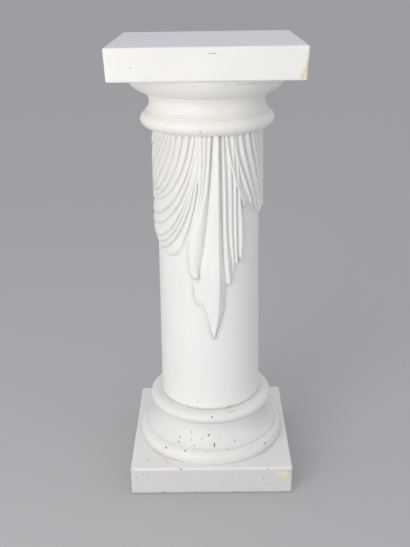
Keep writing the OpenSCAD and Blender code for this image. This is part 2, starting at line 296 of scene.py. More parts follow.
def square_radius(azimuth, half, corner):
    """Distance from the middle to the edge of a square with rounded corners, in the direction azimuth."""
    u = np.maximum(abs(np.sin(azimuth)), abs(np.cos(azimuth)))
    v = np.minimum(abs(np.sin(azimuth)), abs(np.cos(azimuth)))
    straight = half / u
    along = (half - corner) * (u + v)
    inside = np.maximum(along ** 2 - 2 * (half - corner) ** 2 + corner ** 2, 0)
    return np.where(straight * v <= half - corner, straight, along + np.sqrt(inside))


# ---------------------------------------------------------------- meshes

def grid_object(name, x, y, z, hollow):
    """Closed mesh from rings of points, row 0 lowest, with a cap at each end.

    The attribute "hollow" keeps how hollow each point is."""
    rows, columns = x.shape
    points = np.stack([x, y, z], -1).reshape(-1, 3)
    caps = [points[:columns].mean(0), points[-columns:].mean(0)]
    points = np.vstack([points, caps]) * MM
    index = np.arange(rows * columns).reshape(rows, columns)
    ahead = np.roll(index, -1, 1)
    quads = np.stack([index[:-1], ahead[:-1], ahead[1:], index[1:]], -1).reshape(-1, 4).tolist()
    under = np.full(columns, rows * columns)
    over = under + 1
    quads += np.stack([under, ahead[0], index[0]], -1).tolist()
    quads += np.stack([over, index[-1], ahead[-1]], -1).tolist()
    mesh = bpy.data.meshes.new(name)
    mesh.from_pydata(points.tolist(), [], quads)
    mesh.polygons.foreach_set("use_smooth", np.ones(len(quads), bool))
    attribute = mesh.attributes.new("hollow", "FLOAT", "POINT")
    attribute.data.foreach_set("value", np.append(hollow.ravel(), [0, 0]).astype(np.float32))
    mesh.update()
    piece = bpy.data.objects.new(name, mesh)
    bpy.context.scene.collection.objects.link(piece)
    return piece


def uneven(points, size, height, seed):
    """Slow unevenness of a hand-finished casting: one number for each point."""
    offset = Vector((seed * 17.3, seed * 5.1, -seed * 9.7))
    return np.array([noise.noise(Vector(p) / size + offset) for p in points.tolist()]) * height


def casting(name, rings, seed):
    """A casting built of rings. Each ring is (radius for every azimuth, height)."""
    radii = np.array([r for r, _ in rings])
    heights = np.array([np.full(len(AROUND), z) for _, z in rings])
    x, y = radii * np.sin(AROUND), -radii * np.cos(AROUND)
    points = np.stack([x, y, heights], -1)
    rim = np.stack([x * 0.97, y * 0.97, heights], -1).reshape(-1, 3)
    shift = uneven(rim, *WIDE_UNEVENNESS, seed) + uneven(rim, *NARROW_UNEVENNESS, seed + 3)
    outline = np.stack([radii[:, 0], heights[:, 0]], -1)
    slope = np.gradient(outline, axis=0)
    length = np.maximum(np.hypot(slope[:, 0], slope[:, 1]), 1e-6)
    heading = np.unwrap(np.arctan2(slope[:, 1], slope[:, 0]))
    bend = -np.gradient(heading) / length
    hollow = np.repeat(np.clip(bend / CASTING_HOLLOW, 0, 1)[:, None], len(AROUND), 1)
    inset = (shift.reshape(radii.shape) - UNEVENNESS_INSET) * np.clip(radii / END_R, 0, 1)
    points[..., 0] += inset * np.sin(AROUND)
    points[..., 1] -= inset * np.cos(AROUND)
    return grid_object(name, points[..., 0], points[..., 1], points[..., 2], hollow)


def slab_edge(half, inset):
    """Ring of a slab's edge, set in from its side. Its corner gets tighter with the inset."""
    return square_radius(AROUND, half - inset, CORNER_ROUND - inset * 0.9)


def slab_rings(half_low, half_high, low, height):
    """Rings up the side of a square slab with rounded edges."""
    rings = []
    for angle in np.radians(np.linspace(-90, 0, 7)):
        bottom = low + EDGE_ROUND * (1 + math.sin(angle))
        rings.append((half_low, EDGE_ROUND * (1 - math.cos(angle)), bottom))
    for share in np.linspace(0, 1, 24)[1:-1]:
        z = low + EDGE_ROUND + share * (height - 2 * EDGE_ROUND)
        rings.append((half_low + share * (half_high - half_low), 0, z))
    for angle in np.radians(np.linspace(0, 90, 7)):
        top = low + height - EDGE_ROUND * (1 - math.sin(angle))
        rings.append((half_high, EDGE_ROUND * (1 - math.cos(angle)), top))
    return [(slab_edge(half, inset), z) for half, inset, z in rings]


def flat_rings(inner, outer, z, count):
    """Rings across a flat face, from one ring of radii to another, without the two themselves."""
    return [(inner + (outer - inner) * i / count, z) for i in range(1, count)]


def round_rings(outline):
    """Rings of a turned moulding."""
    return [(np.full(len(AROUND), r), z) for r, z in spaced(soften(outline, ARRIS_ROUND), PROFILE_STEP)]


def columns_around():
    """Azimuths of the columns of a casting in radians, closer in front and closest at the slabs' corners."""
    front = np.arange(-75, 75, 0.75)
    back = np.arange(75, 285, 1.2)
    corners = [c + d for c in (-45, 45, 135, 225) for d in np.linspace(-1.05, 1.05, 9)]
    plain = [a for a in np.concatenate([front, back]) if 1.2 < (a - 45) % 90 < 88.8]
    return np.radians(sorted(list(plain) + corners))


AROUND = columns_around()


def base_outline():
    """Mouldings of the base, from the plinth up to the foot of the shaft."""
    fillet_r = PLINTH_HALF - FILLET_INSET
    fillet_foot = PLINTH_HEIGHT + LOW_TORUS_HEIGHT
    scotia_foot = fillet_foot + FILLET_HEIGHT
    scotia_head = (SHAFT_FOOT_R + SCOTIA_STAND_OUT, scotia_foot + SCOTIA_HEIGHT)
    torus_middle = (SHAFT_FOOT_R + TORUS_MIDDLE, BASE_TOP - TORUS_HALF_HEIGHT)
    return (
        arc_between((PLINTH_HALF - LOW_TORUS_INSET, PLINTH_HEIGHT), (fillet_r, fillet_foot), -LOW_TORUS_SWELL)
        + [(fillet_r, scotia_foot)]
        + arc_between((fillet_r - LEDGE, scotia_foot), scotia_head, SCOTIA_HOLLOW, 20)
        + ellipse_arc(torus_middle, TORUS_HALF_WIDTH, TORUS_HALF_HEIGHT, -60, 90)
        + [(SHAFT_FOOT_R - SHAFT_LAP, BASE_TOP)])


def capital_outline():
    """Mouldings of the capital, from the shaft up to the underside of the abacus."""
    foot = CAPITAL_FOOT
    full = SHAFT_TOP_R + ASTRAGAL_STAND_OUT
    astragal_middle = (full - ASTRAGAL_HALF_WIDTH, foot + ASTRAGAL_HALF_HEIGHT)
    neck_r = full - NECK_INSET
    gorge_foot = foot + NECK_LEVEL + FILLET_HEIGHT
    gorge_head = (full - GORGE_INSET, foot + GORGE_LEVEL)
    echinus_foot = (full - GORGE_INSET + LEDGE, foot + ECHINUS_LEVEL)
    abacus_foot = CAPITAL_TOP - ABACUS_HEIGHT
    return (
        [(SHAFT_TOP_R - SHAFT_LAP, foot)]
        + ellipse_arc(astragal_middle, ASTRAGAL_HALF_WIDTH, ASTRAGAL_HALF_HEIGHT, -90, 0)
        + arc_between((full, astragal_middle[1] + 0.5), (neck_r, foot + NECK_LEVEL), -NECK_SPREAD, 8)
        + [(neck_r, gorge_foot)]
        + arc_between((neck_r - LEDGE, gorge_foot), gorge_head, GORGE_HOLLOW, 18)
        + [(echinus_foot[0], gorge_head[1]), echinus_foot]
        + arc_between(echinus_foot, (ABACUS_HALF - ECHINUS_INSET, abacus_foot), -ECHINUS_SWELL, 18))


def make_base():
    """Base: plinth, low torus, scotia and torus."""
    ledge = round_rings(base_outline())
    inner = np.full(len(AROUND), END_R)
    rim = slab_edge(PLINTH_HALF, EDGE_ROUND)
    rings = [(inner * END_SHARE, 0), (inner, 0)]
    rings += flat_rings(inner, rim, 0, 5)
    rings += slab_rings(PLINTH_HALF, PLINTH_HALF, 0, PLINTH_HEIGHT)
    rings += flat_rings(rim, ledge[0][0], PLINTH_HEIGHT, 14)
    rings += ledge
    rings += [(inner, BASE_TOP), (inner * END_SHARE, BASE_TOP)]
    return casting("pedestal_base", rings, 1)


def make_capital():
    """Capital: astragal, neck, echinus and abacus."""
    turned = round_rings(capital_outline())
    low = CAPITAL_TOP - ABACUS_HEIGHT
    half_low = ABACUS_HALF - ABACUS_DRAFT
    inner = np.full(len(AROUND), END_R)
    rings = [(inner * END_SHARE, CAPITAL_FOOT), (inner, CAPITAL_FOOT)]
    rings += turned
    rings += flat_rings(turned[-1][0], slab_edge(half_low, EDGE_ROUND), low, 10)
    rings += slab_rings(half_low, ABACUS_HALF, low, ABACUS_HEIGHT)
    rings += flat_rings(slab_edge(ABACUS_HALF, EDGE_ROUND), inner, CAPITAL_TOP, 24)
    rings += [(inner, CAPITAL_TOP), (inner * END_SHARE, CAPITAL_TOP)]
    return casting("pedestal_capital", rings, 2)


# ---------------------------------------------------------------- carved cloth

def crease_number(creases, middle, azimuth, drop):
    """Which crease passes through each point, counted from the top one, with the share between two."""
    table = np.array(creases, float)
    numbers = np.arange(len(table))
    low, high = np.zeros_like(azimuth), np.full_like(azimuth, len(table) - 1)
    for _ in range(16):
        k = (low + high) / 2
        start, depth, turn = (np.interp(k, numbers, table[:, i]) for i in range(3))
        across = np.clip((azimuth - start) / (middle - start), 0, 1)
        line = depth * (1 - (1 - across) ** turn) ** (1 / CREASE_STEEPNESS)
        low, high = np.where(line < drop, k, low), np.where(line < drop, high, k)
    return (low + high) / 2


def fold_across(share, crest, roundness):
    """Height across one fold, from crease to crease, fullest at the crest.

    A roundness of 0 makes a straight ridge, 1 a round one."""
    rise = np.clip(share / crest, 0, 1)
    fall = np.clip((1 - share) / (1 - crest), 0, 1)
    straight = np.minimum(rise, fall)
    return straight + roundness * (np.sin(np.pi / 2 * straight) - straight)


def swag_height(creases, middle, crest, roundness, level, cut, azimuth, drop, metric):
    """Height of a swag as a share of the fold height, its creases cut into its level. Outside it no cloth.

    metric has the columns' azimuths in radians and the radius that they are measured on."""
    front_way = middle + abs(azimuth - middle) * (1 if middle < 0 else -1)
    k = crease_number(creases, middle, front_way, drop)
    slope = np.hypot(np.gradient(k, metric[0], axis=1) / metric[1], np.gradient(k, -drop[:, 0], axis=0))
    depth = np.clip((1 / np.maximum(slope, 1e-4) - NO_FOLD) / (FULL_FOLD - NO_FOLD), 0, 1)
    depth = depth * (1 - SIDE_LOSS * np.clip((abs(azimuth) - SIDE_START) / SIDE_WIDTH, 0, 1))
    share = k - np.floor(k)
    folded = level - cut * depth * (1 - fold_across(share, crest, roundness))
    above_last = k < len(creases) - 1.02
    return np.where(above_last, folded, NO_CLOTH)


def tail_height(lines, azimuth, drop):
    """Height of a tail's folds as a share of the fold height, between the lines that cross each row."""
    height = np.full_like(azimuth, NO_CLOTH)
    way = []
    for crest_round, points in lines:
        table = np.array(points, float)
        line_azimuth, line_height = (np.interp(drop, table[:, 0], table[:, i]) for i in (1, 2))
        way.append((crest_round, line_azimuth, line_height))
    for (round_a, a, low), (round_b, b, high) in zip(way, way[1:]):
        t = np.clip((azimuth - a) / np.maximum(b - a, 0.01), 0, 1)
        up = t + (np.sin(np.pi / 2 * t) - t) * round_b
        down = t + (1 - np.cos(np.pi / 2 * t) - t) * round_a
        between = low + (high - low) * np.where(high > low, up, down)
        height = np.where((azimuth >= a) & (azimuth < b), between, height)
    return height


def hem_distance(azimuth, drop, shaft_r):
    """Distance of each point from the cloth's lower edge, + on the cloth."""
    hem = np.array(HEM, float)
    level = np.interp(azimuth, hem[:, 0], hem[:, 1])
    x, y = np.radians(azimuth) * shaft_r, drop
    along = np.vstack([hem[-4:-1] - [360, 0], hem, hem[1:5] + [360, 0]])
    px, py = np.radians(along[:, 0]) * shaft_r, along[:, 1]
    nearest = np.full_like(x, 1e9)
    for i in range(len(along) - 1):
        dx, dy = px[i + 1] - px[i], py[i + 1] - py[i]
        t = np.clip(((x - px[i]) * dx + (y - py[i]) * dy) / (dx * dx + dy * dy), 0, 1)
        nearest = np.minimum(nearest, np.hypot(x - px[i] - t * dx, y - py[i] - t * dy))
    return np.where(drop < level, nearest, -nearest)


def shaft_columns():
    """Azimuths of the shaft's columns, closest round the front tail."""
    return np.concatenate([
        np.arange(-85, -34, 0.9), np.arange(-34, 42, 0.5), np.arange(42, 85, 0.8), np.arange(85, 275, 2.0)])


def shaft_drops():
    """Drops of the shaft's rows, closer on the cloth."""
    return np.concatenate([
        np.arange(0, 232, 1.35), np.arange(232, 370, 1.7), np.linspace(370, SHAFT_HEIGHT, 19)])


def turned_azimuth(azimuth):
    """Azimuths past the rear tail's middle counted from the left instead."""
    return np.where(azimuth > REAR_MIDDLE, azimuth - 360, azimuth)


def fold_heights(degrees, azimuth, drop):
    """Height of the cloth's folds all round, as a share of the fold height: the highest one at each point."""
    metric = (np.radians(degrees), SHAFT_TOP_R + CLOTH_DEPTH)
    turned = turned_azimuth(azimuth)
    left = swag_height(LEFT_CREASES, LEFT_MIDDLE, LEFT_CREST, LEFT_ROUNDNESS, LEFT_LEVEL, LEFT_CUT,
                       turned, drop, metric)
    right = swag_height(RIGHT_CREASES, RIGHT_MIDDLE, RIGHT_CREST, RIGHT_ROUNDNESS, RIGHT_LEVEL, RIGHT_CUT,
                        turned, drop, metric)
    tail = tail_height(FRONT_LINES, azimuth, drop)
    rear = tail_height(REAR_LINES, azimuth - REAR_MIDDLE, drop)
    first_line = np.array(FRONT_LINES[0][1])
    border = np.interp(drop, first_line[:, 0], first_line[:, 1])
    beside_rear = rear <= 0.95 * NO_CLOTH
    left = np.where((turned <= border) & beside_rear, left, NO_CLOTH)
    right = np.where((turned > RIGHT_BORDER) & beside_rear, right, NO_CLOTH)
    folds = np.maximum(np.maximum(left, right), np.maximum(tail, rear))
    return np.where(folds < NO_CLOTH / 2, 0, folds)


def cloth_thickness(folds, azimuth, drop):
    """Thickness of the cloth with its folds, its thin or rolled hem and its soft edge."""
    distance = hem_distance(azimuth, drop, SHAFT_TOP_R + CLOTH_DEPTH)
    turned = turned_azimuth(azimuth)
    reach, thinnest = (np.interp(turned, *zip(*table)) for table in (THINNING_REACH, THINNEST_SHARE))
    thinner = thinnest + (1 - thinnest) * np.clip(distance / reach, 0, 1) ** 0.8
    rolled = np.exp(-((distance - ROLL_INSET) / ROLL_WIDTH) ** 2) * ROLL_HEIGHT
    rolled = rolled * np.clip((drop - ROLL_TOP) / ROLL_ONSET, 0, 1)
    rolled = rolled * np.clip((ROLL_RIGHT - azimuth) / ROLL_FADE, 0, 1) * (azimuth > ROLL_LEFT)
    edge = np.clip((distance + EDGE_OUTSIDE) / EDGE_SOFTNESS, 0, 1)
    thickness = (CLOTH_DEPTH + FOLD_HEIGHT * folds) * thinner + rolled
    return np.maximum(thickness * edge * (2 - edge), 0)


def make_shaft():
    """Round shaft with the carved cloth on it."""
    degrees = shaft_columns()
    azimuth, drop = np.meshgrid(degrees, shaft_drops()[::-1])
    radius = SHAFT_TOP_R + (SHAFT_FOOT_R - SHAFT_TOP_R) * drop / SHAFT_HEIGHT
    radius = radius + cloth_thickness(fold_heights(degrees, azimuth, drop), azimuth, drop)
    radius = radius - FOOT_DRAW * np.clip(1 - (SHAFT_HEIGHT - drop) / FOOT_DRAW_HEIGHT, 0, 1)
    curved = sum(np.gradient(np.gradient(radius, axis=axis), axis=axis) for axis in (1, 0))
    hollow = np.clip(curved / SHAFT_HOLLOW, 0, 1)
    x, y = radius * np.sin(np.radians(azimuth)), -radius * np.cos(np.radians(azimuth))
    return grid_object("draped_shaft", x, y, CAPITAL_FOOT - drop, hollow)


# ---------------------------------------------------------------- materials

DARK_MARK = (0.1, 0.095, 0.095)
GREY_MARK = (0.42, 0.4, 0.39)
BUFF_MARK = (0.79, 0.73, 0.64)
CREAM_MARK = (0.84, 0.74, 0.52)
PINK_MARK = (0.78, 0.69, 0.68)
FILLER_MARK = (0.6, 0.6, 0.42)
# How ragged a mark's edge is, as a share of its radius
MARK_RAGGEDNESS = 0.8
# Shades of the paint's colour in darker clouds, in warmer ones (red, green, blue) and where shade is painted
# low on a casting
CLOUD_SHADE = 0.955
WARM_SHADES = (1, 0.985, 0.95)
PAINTED_SIDE_SHADE = 0.83
# Colour of a top face, darker and bluer than the paint: dust and painted shade
DUST_AND_SHADE_COLOUR = (0.84, 0.84, 0.91)
# Heights in millimetres below and above everything, for what a casting doesn't have
NOWHERE_LOW = -10
NOWHERE_HIGH = 10000


def add_node(tree, kind, inputs=None, **settings):
    """A shader node with its settings, and its inputs linked or set."""
    new = tree.nodes.new(kind)
    for key, value in settings.items():
        setattr(new, key, value)
    for key, value in (inputs or {}).items():
        if isinstance(value, bpy.types.NodeSocket):
            tree.links.new(value, new.inputs[key])
        else:
            new.inputs[key].default_value = value
    return new


def calculated(tree, operation, first, second, **settings):
    """Result of a calculation with two values."""
    return add_node(tree, "ShaderNodeMath", {0: first, 1: second}, operation=operation, **settings).outputs[0]


def noise_value(tree, place, scale, detail=3.0, stretch=(1, 1, 1)):
    """Noise between 0 and 1 over the object, with features about 1/scale metres wide."""
    mapping = add_node(tree, "ShaderNodeMapping", {"Vector": place, "Scale": stretch})
    texture = add_node(tree, "ShaderNodeTexNoise", {
        "Vector": mapping.outputs["Vector"], "Scale": scale, "Detail": detail, "Roughness": 0.55})
    return texture.outputs["Fac"]


def ranged(tree, value, low, high, to_low=0.0, to_high=1.0):
    """A value brought from one range to another, and kept there."""
    node = add_node(tree, "ShaderNodeMapRange", {
        "Value": value, "From Min": low, "From Max": high, "To Min": to_low, "To Max": to_high})
    return node.outputs["Result"]


def mixed(tree, factor, colour_a, colour_b):
    """Two colours mixed by a factor."""
    node = add_node(tree, "ShaderNodeMix", data_type="RGBA")
    for socket, value in ((0, factor), (6, colour_a), (7, colour_b)):
        if isinstance(value, bpy.types.NodeSocket):
            tree.links.new(value, node.inputs[socket])
        else:
            node.inputs[socket].default_value = value if socket == 0 else (*value, 1)
    return node.outputs[2]


def mark_group():
    """Node group: how much a point belongs to a mark along a short stroke, with a ragged edge."""
    group = bpy.data.node_groups.new("mark", "ShaderNodeTree")
    for name, kind in (("Place", "Vector"), ("Start", "Vector"), ("Way", "Vector"), ("Radius", "Float")):
        group.interface.new_socket(name, in_out="INPUT", socket_type="NodeSocket" + kind)
    group.interface.new_socket("Mark", in_out="OUTPUT", socket_type="NodeSocketFloat")
    given = group.nodes.new("NodeGroupInput").outputs
    result = group.nodes.new("NodeGroupOutput")

    def vector(operation, inputs, output):
        return add_node(group, "ShaderNodeVectorMath", inputs, operation=operation).outputs[output]

    from_start = vector("SUBTRACT", {0: given["Place"], 1: given["Start"]}, "Vector")
    along = vector("DOT_PRODUCT", {0: from_start, 1: given["Way"]}, "Value")
    whole = vector("DOT_PRODUCT", {0: given["Way"], 1: given["Way"]}, "Value")
    share = calculated(group, "DIVIDE", along, whole, use_clamp=True)
    nearest = vector("SCALE", {0: given["Way"], "Scale": share}, "Vector")
    distance = vector("DISTANCE", {0: from_start, 1: nearest}, "Value")
    relative = calculated(group, "DIVIDE", distance, given["Radius"])
    noisy = add_node(group, "ShaderNodeTexNoise", {"Vector": given["Place"], "Scale": 330.0, "Detail": 2.0})
    ragged = calculated(group, "MULTIPLY", noisy.outputs["Fac"], 2 * MARK_RAGGEDNESS)
    ring = calculated(group, "SUBTRACT", calculated(group, "ADD", relative, ragged), MARK_RAGGEDNESS)
    group.links.new(ranged(group, ring, 1.0, 0.7), result.inputs["Mark"])
    return group


def marked(tree, place, tone, marks):
    """The tone with marks laid on it: (colour, start and end in millimetres, radius in millimetres)."""
    for colour, start, end, radius in marks:
        stroke = add_node(tree, "ShaderNodeGroup", node_tree=MARK_GROUP)
        tree.links.new(place, stroke.inputs["Place"])
        stroke.inputs["Start"].default_value = Vector(start) * MM
        stroke.inputs["Way"].default_value = (Vector(end) - Vector(start)) * MM + Vector((0, 0, 1e-5))
        stroke.inputs["Radius"].default_value = radius * MM
        tone = mixed(tree, stroke.outputs["Mark"], tone, colour)
    return tone


def shaded(colour, share):
    """A colour darkened to a share of itself."""
    return [c * share for c in colour]


def clouded(tree, place, colour):
    """The paint's own colour, in clouds a little darker and a little warmer."""
    darker = ranged(tree, noise_value(tree, place, 9.0), 0.3, 0.7)
    tone = mixed(tree, darker, colour, shaded(colour, CLOUD_SHADE))
    warmer = ranged(tree, noise_value(tree, place, 16.0, 4.0), 0.52, 0.75, 0, 0.6)
    return mixed(tree, warmer, tone, [c * share for c, share in zip(colour, WARM_SHADES)])


def dirtied_and_shaded(tree, place, patchy, tone, dirt_and_shade_colour, joint_at):
    """Patchy dirt and painted shade just above the floor and just above the joint."""
    height = add_node(tree, "ShaderNodeSeparateXYZ", {0: place}).outputs["Z"]
    for where_z, reach in ((0, 5), (joint_at, 3)):
        near = ranged(tree, height, where_z * MM, (where_z + reach) * MM, 1, 0)
        near = calculated(tree, "MULTIPLY", near, ranged(tree, patchy, 0.3, 0.7, 0.25, 0.9))
        tone = mixed(tree, near, tone, dirt_and_shade_colour)
    return tone


def dusted_and_shaded(tree, place, tone, dusty_and_shaded_above):
    """Streaky dust on a top face, darker and bluer than the paint: dust and painted shade."""
    height = add_node(tree, "ShaderNodeSeparateXYZ", {0: place}).outputs["Z"]
    streaks = noise_value(tree, place, 30.0, 5.0, (0.6, 1.6, 1))
    dust_and_shade = ranged(tree, height, (dusty_and_shaded_above - 1.5) * MM, dusty_and_shaded_above * MM)
    dust_and_shade = calculated(tree, "MULTIPLY", dust_and_shade, ranged(tree, streaks, 0.3, 0.65, 0.5, 1.0))
    return mixed(tree, dust_and_shade, tone, DUST_AND_SHADE_COLOUR)


def speckled(tree, place, tone, speckled_share):
    """Small grey specks, in some areas only."""
    specks = ranged(tree, noise_value(tree, place, 260.0, 1.0), 0.73, 0.77)
    where = ranged(tree, noise_value(tree, place, 14.0, 1.0), 0.5, 0.65, 0, speckled_share)
    return mixed(tree, calculated(tree, "MULTIPLY", specks, where), tone, GREY_MARK)


def brushed(tree, place, shader):
    """Uneven gloss and the fine relief of brushed paint."""
    gloss = noise_value(tree, place, 30.0)
    tree.links.new(ranged(tree, gloss, 0.3, 0.7, 0.42, 0.55), shader.inputs["Roughness"])
    grain = noise_value(tree, place, 420.0, 4.0)
    waves = noise_value(tree, place, 60.0, 3.0)
    relief = add_node(tree, "ShaderNodeMath", {0: waves, 1: 3.0, 2: grain}, operation="MULTIPLY_ADD")
    bump = add_node(tree, "ShaderNodeBump", {
        "Height": relief.outputs[0], "Strength": 0.3, "Distance": 0.0004})
    tree.links.new(bump.outputs["Normal"], shader.inputs["Normal"])


def painted_plaster(name, colour, dirt_and_shade_colour, marks, speckled_share,
                    shaded_below=NOWHERE_LOW, joint_at=NOWHERE_LOW, dusty_and_shaded_above=NOWHERE_HIGH):
    """White paint on cast plaster: uneven colour and gloss, dirt and painted shade in the hollows, specks and
    marks.

    Below the first of the three heights it is greyer, a painted shade; just above joint_at it has dirt and
    painted shade; from the last one up it has dust and painted shade. All three are heights in millimetres."""
    material = bpy.data.materials.new(name)
    material.use_nodes = True
    tree = material.node_tree
    shader = tree.nodes["Principled BSDF"]
    place = add_node(tree, "ShaderNodeTexCoord").outputs["Object"]
    height = add_node(tree, "ShaderNodeSeparateXYZ", {0: place}).outputs["Z"]
    patchy = noise_value(tree, place, 45.0)
    tone = clouded(tree, place, colour)
    # Painted shade: the casting greyer below a height, on the base its plinth's sides
    side_shade = ranged(tree, height, shaded_below * MM, (shaded_below - 4) * MM, 0, 0.9)
    tone = mixed(tree, side_shade, tone, shaded(colour, PAINTED_SIDE_SHADE))
    # Dirt and painted shade just above the floor and the joint
    tone = dirtied_and_shaded(tree, place, patchy, tone, dirt_and_shade_colour, joint_at)
    # Dust and painted shade on the top face
    tone = dusted_and_shaded(tree, place, tone, dusty_and_shaded_above)
    # Dirt and painted shade in the hollows: creases darkened towards the dirt colour
    hollow = add_node(tree, "ShaderNodeAttribute", attribute_name="hollow").outputs["Fac"]
    dirt_and_shade = calculated(tree, "MULTIPLY", hollow, ranged(tree, patchy, 0.3, 0.75, 0.2, 0.6))
    tone = mixed(tree, dirt_and_shade, tone, dirt_and_shade_colour)
    tone = speckled(tree, place, tone, speckled_share)
    tone = marked(tree, place, tone, marks)
    tree.links.new(tone, shader.inputs["Base Color"])
    brushed(tree, place, shader)
    return material


# ---------------------------------------------------------------- marks

def on_turned(outline, azimuth, z):
    """Point on a turned moulding."""
    radius = np.interp(z, [p[1] for p in outline], [p[0] for p in outline])
    return radius * math.sin(math.radians(azimuth)), -radius * math.cos(math.radians(azimuth)), z


def turned_mark(outline, colour, first, last, radius):
    """Mark on a turned moulding between two places, each (azimuth, height)."""
    return colour, on_turned(outline, *first), on_turned(outline, *last), radius


def front_mark(half, colour, first, last, radius):
    """Mark on the front face of a slab between two places, each (x, height)."""
    return colour, (first[0], -half, first[1]), (last[0], -half, last[1]), radius


def ledge_mark(colour, first, last, radius):
    """Mark on the top of the plinth between two places, each (x, y)."""
    return colour, (*first, PLINTH_HEIGHT), (*last, PLINTH_HEIGHT), radius


def base_marks():
    """Scuffs, chips and stains of the base."""
    turned = [
        (DARK_MARK, (1.3, 141.8), (1.3, 141.8), 1.7), (DARK_MARK, (-2.5, 101.5), (-2.3, 99.5), 1.3),
        (GREY_MARK, (-19.7, 105), (-18.2, 89.5), 1.0), (DARK_MARK, (2.9, 87.6), (2.8, 83.2), 1.2),
        (GREY_MARK, (-30.7, 91), (-30.5, 90), 1.8), (GREY_MARK, (-30.4, 84), (-29.5, 83), 1.8),
        (DARK_MARK, (-21.7, 76), (-21.5, 75), 1.2), (DARK_MARK, (-38.7, 72.4), (-38, 71.8), 1.6),
        (GREY_MARK, (13.4, 78), (14, 77.5), 1.5), (GREY_MARK, (47.5, 70), (49, 69.2), 1.6),
        (GREY_MARK, (60, 70), (60.6, 69.5), 1.5), (GREY_MARK, (-9, 96), (-8.6, 92), 0.8),
        (GREY_MARK, (8, 98), (8.2, 95), 0.8), (GREY_MARK, (-15, 84), (-14.6, 82), 1.0),
        (GREY_MARK, (22, 88), (22.4, 85), 0.9), (GREY_MARK, (33, 74), (34, 73.6), 1.0),
        (FILLER_MARK, (17.5, 144.6), (25, 144.6), 1.6)]
    front = [
        (DARK_MARK, (-57.5, 53.6), (-55, 53.8), 1.6), (DARK_MARK, (103, 52.6), (104, 52.2), 1.1),
        (DARK_MARK, (101, 17.5), (102, 17.3), 1.0), (DARK_MARK, (95.5, 29.6), (96.2, 29.4), 1.0),
        (GREY_MARK, (79, 19.2), (79.5, 19.2), 1.0), (GREY_MARK, (72, 19.2), (72.8, 19), 1.0),
        (CREAM_MARK, (123, 41), (137, 43), 3.8), (CREAM_MARK, (130, 35), (136, 38), 3.6),
        (GREY_MARK, (140.2, 47.6), (149.4, 47), 0.8), (GREY_MARK, (-126.5, 44.3), (-125, 44), 1.1),
        (DARK_MARK, (-115.4, 39.8), (-115, 39.6), 1.0), (GREY_MARK, (-137.8, 35.6), (-137, 35.4), 1.1),
        (GREY_MARK, (-90, 3), (-84, 3), 1.2), (GREY_MARK, (-30, 3), (-26, 3), 1.1),
        (GREY_MARK, (40, 3), (44, 3.2), 1.1), (GREY_MARK, (-147, 52.5), (-141, 53.5), 1.2)]
    ledge = [
        (GREY_MARK, (-80.6, -132.5), (-78.5, -131.8), 1.7), (PINK_MARK, (-90, -106), (-80, -132), 4.5),
        (PINK_MARK, (-129, 142), (-122, 139), 2.5), (GREY_MARK, (112, -128), (114, -127), 1.2),
        (GREY_MARK, (-118, -121), (-116, -120), 1.2)]
    outline = base_outline()
    return ([turned_mark(outline, *mark) for mark in turned]
            + [front_mark(PLINTH_HALF, *mark) for mark in front] + [ledge_mark(*mark) for mark in ledge])


def capital_marks():
    """Chips and scratches of the capital."""
    front = [
        (GREY_MARK, (-89, 754), (-86, 754.6), 1.5), (GREY_MARK, (-114, 770.7), (-113.3, 770.5), 1.2),
        (DARK_MARK, (79.6, 761.6), (80.4, 761.6), 0.9), (GREY_MARK, (4, 790.4), (15, 789.8), 0.7),
        (CREAM_MARK, (152, 753), (152, 774), 4.4), (CREAM_MARK, (144, 755), (150, 766), 4.6),
        (GREY_MARK, (-56.6, 748.6), (-56, 748), 1.2), (GREY_MARK, (-132, 752), (-130, 752.6), 1.1)]
    turned = [
        (BUFF_MARK, (-5.5, 669), (-4.5, 662), 2.0), (BUFF_MARK, (24, 667), (25, 665), 1.2),
        (CREAM_MARK, (-10, 741), (14, 741), 1.2), (CREAM_MARK, (20, 741), (34, 741), 1.0)]
    outline = capital_outline()
    return ([front_mark(ABACUS_HALF - 1, *mark) for mark in front]
            + [turned_mark(outline, *mark) for mark in turned])


def shaft_marks():
    """Small chips on the cloth's upper edge, and scuffs at the foot."""
    def place(azimuth, z, stand_out):
        radius = SHAFT_TOP_R + (SHAFT_FOOT_R - SHAFT_TOP_R) * (CAPITAL_FOOT - z) / SHAFT_HEIGHT + stand_out
        return radius * math.sin(math.radians(azimuth)), -radius * math.cos(math.radians(azimuth)), z
    return [
        (BUFF_MARK, place(-6.4, 655, 7), place(-3.4, 653, 7), 2.2),
        (BUFF_MARK, place(-6.1, 645.5, 7), place(-6.1, 644.5, 7), 1.8),
        (BUFF_MARK, place(-25.8, 639, 8), place(-25.8, 638, 8), 1.4),
        (GREY_MARK, place(-5.3, 495.6, 5), place(-5.3, 494.8, 5), 1.2),
        (GREY_MARK, place(-15.5, 162, 0), place(-14.5, 161.8, 0), 1.2),
        (GREY_MARK, place(-28, 150, 0), place(-27, 149.6, 0), 1.0),
        (GREY_MARK, place(20, 147, 0), place(24, 146.6, 0), 1.3)]


MARK_GROUP = mark_group()


# ---------------------------------------------------------------- scene

# Camera: focal length and sensor width in millimetres, place in metres, turns in degrees
CAMERA_LENS = 50.95
CAMERA_SENSOR = 36
CAMERA_PLACE = (0.002, -1.338, 0.907)
CAMERA_PITCH = 21.49
CAMERA_YAW = -0.41
CAMERA_ROLL = -0.85
# Strength of the world's light at the horizon and straight up, and the colour that it is seen in
WORLD_LOW = 0.52
WORLD_HIGH = 0.8
WORLD_COLOUR = (0.965, 0.975, 1, 1)
WORLD_SEEN = (0.42, 0.42, 0.44, 1)
FLOOR_COLOUR = (0.48, 0.48, 0.495, 1)
FLOOR_REACH = 40


